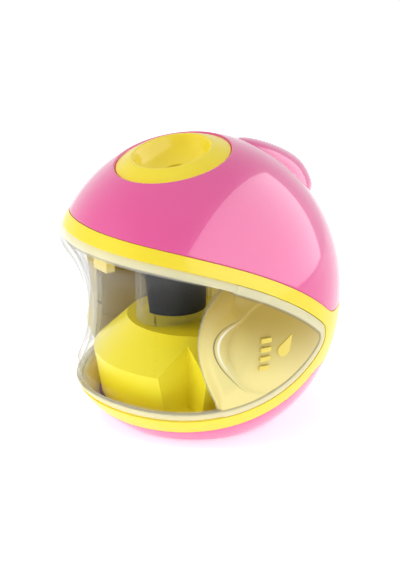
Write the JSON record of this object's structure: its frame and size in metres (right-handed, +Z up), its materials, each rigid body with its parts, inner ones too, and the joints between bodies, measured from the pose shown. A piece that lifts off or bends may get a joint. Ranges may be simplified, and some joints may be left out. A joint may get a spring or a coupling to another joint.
{
  "type": "pencil sharpener",
  "caption": "Round battery pencil sharpener with a dished pencil funnel on top, a clear pull-off visor that holds the shavings and a twist-off battery cap below.",
  "frame": {"origin": "on the table, under the middle of the object's width and depth", "axes": "+Z is up along the body's axis, -Y is the front, where the clear visor is, and +X is the right-hand side seen from behind"},
  "size_m": [0.089, 0.0869, 0.0891],
  "materials": {
    "pink_plastic": "glossy, moulded",
    "yellow_plastic": "glossy, moulded",
    "clear_tub": "clear, slightly tinted moulding",
    "clear_guard": "clear moulding",
    "chassis_plastic": "smooth",
    "gearbox_plastic": "smooth",
    "gear_plastic": "smooth",
    "black_plastic": "fine grain",
    "steel": "bright",
    "blade_steel": "ground",
    "brass": "bright",
    "cell_jacket": "printed film, plain",
    "feet": "matt"
  },
  "bodies": {
    "housing": {"upper_shell": "pink_plastic", "belt_frame": "yellow_plastic", "lower_shell": "pink_plastic", "rear_spoiler": "pink_plastic", "funnel_spring": "steel", "gear_cover": "gearbox_plastic", "gear_deck": "gearbox_plastic", "middle_axle": "steel", "motor_can": "steel", "motor_end_cap": "gearbox_plastic", "motor_screws": "steel", "cutter_guard": "clear_guard", "inner_chassis": "chassis_plastic", "shavings_chute": "yellow_plastic", "battery_tray": "black_plastic", "battery_cell_front": "cell_jacket", "battery_cell_rear": "cell_jacket", "contact_springs": "steel", "contact_plates": "steel", "start_switch": "black_plastic", "lever_pin": "steel", "tub_latch": "chassis_plastic", "shell_screws": "steel", "base_screws": "steel", "gearbox_screws": "steel", "tray_screws": "steel"},
    "tub": {"shavings_tub": "clear_tub", "grip_marks": "yellow_plastic"},
    "funnel": {"pencil_funnel": "yellow_plastic"},
    "lever": {"switch_lever": "steel"},
    "cutter": {"cutter_block": "black_plastic", "cutter_blade": "blade_steel", "blade_screw": "steel", "cutter_spindle": "black_plastic", "cutter_gear": "gear_plastic"},
    "idler": {"middle_gear": "gear_plastic"},
    "rotor": {"motor_shaft": "steel", "motor_pinion": "brass"},
    "base_cap": {"battery_cap": "pink_plastic", "rubber_feet": "feet"}
  },
  "joints": [
    {"name": "tub_pull", "type": "slide", "parent": "housing", "child": "tub", "axis": [0, -1, 0], "range_m": [0, 0.066]},
    {"name": "funnel_press", "type": "slide", "parent": "housing", "child": "funnel", "axis": [0, 0, 1], "range_m": [-0.0015, 0], "stiffness_N_per_m": 500, "springref_m": 0.001, "deforming": ["funnel_spring"]},
    {"name": "lever_tilt", "type": "hinge", "parent": "housing", "child": "lever", "pos_m": [0.0153, -0.00948, 0.07675], "axis": [0, 1, 0], "range_deg": [-18, 0]},
    {"name": "cutter_spin", "type": "hinge", "parent": "housing", "child": "cutter", "pos_m": [0, -0.00948, 0.0616], "axis": [0, 0, 1], "continuous": true},
    {"name": "idler_spin", "type": "hinge", "parent": "housing", "child": "idler", "pos_m": [0, 0.00862, 0.0641], "axis": [0, 0, 1], "continuous": true},
    {"name": "rotor_spin", "type": "hinge", "parent": "housing", "child": "rotor", "pos_m": [0, 0.02272, 0.0516], "axis": [0, 0, 1], "continuous": true},
    {"name": "cap_twist", "type": "hinge", "parent": "housing", "child": "base_cap", "pos_m": [0, -0.00156, 0.001], "axis": [0, 0, 1], "range_deg": [0, 32]}
  ],
  "couplings": [
    {"joint": "lever_tilt", "follows": "funnel_press", "rad_per_m": 208.33},
    {"joint": "idler_spin", "follows": "cutter_spin", "ratio": -3.5},
    {"joint": "rotor_spin", "follows": "cutter_spin", "ratio": 8.75}
  ]
}
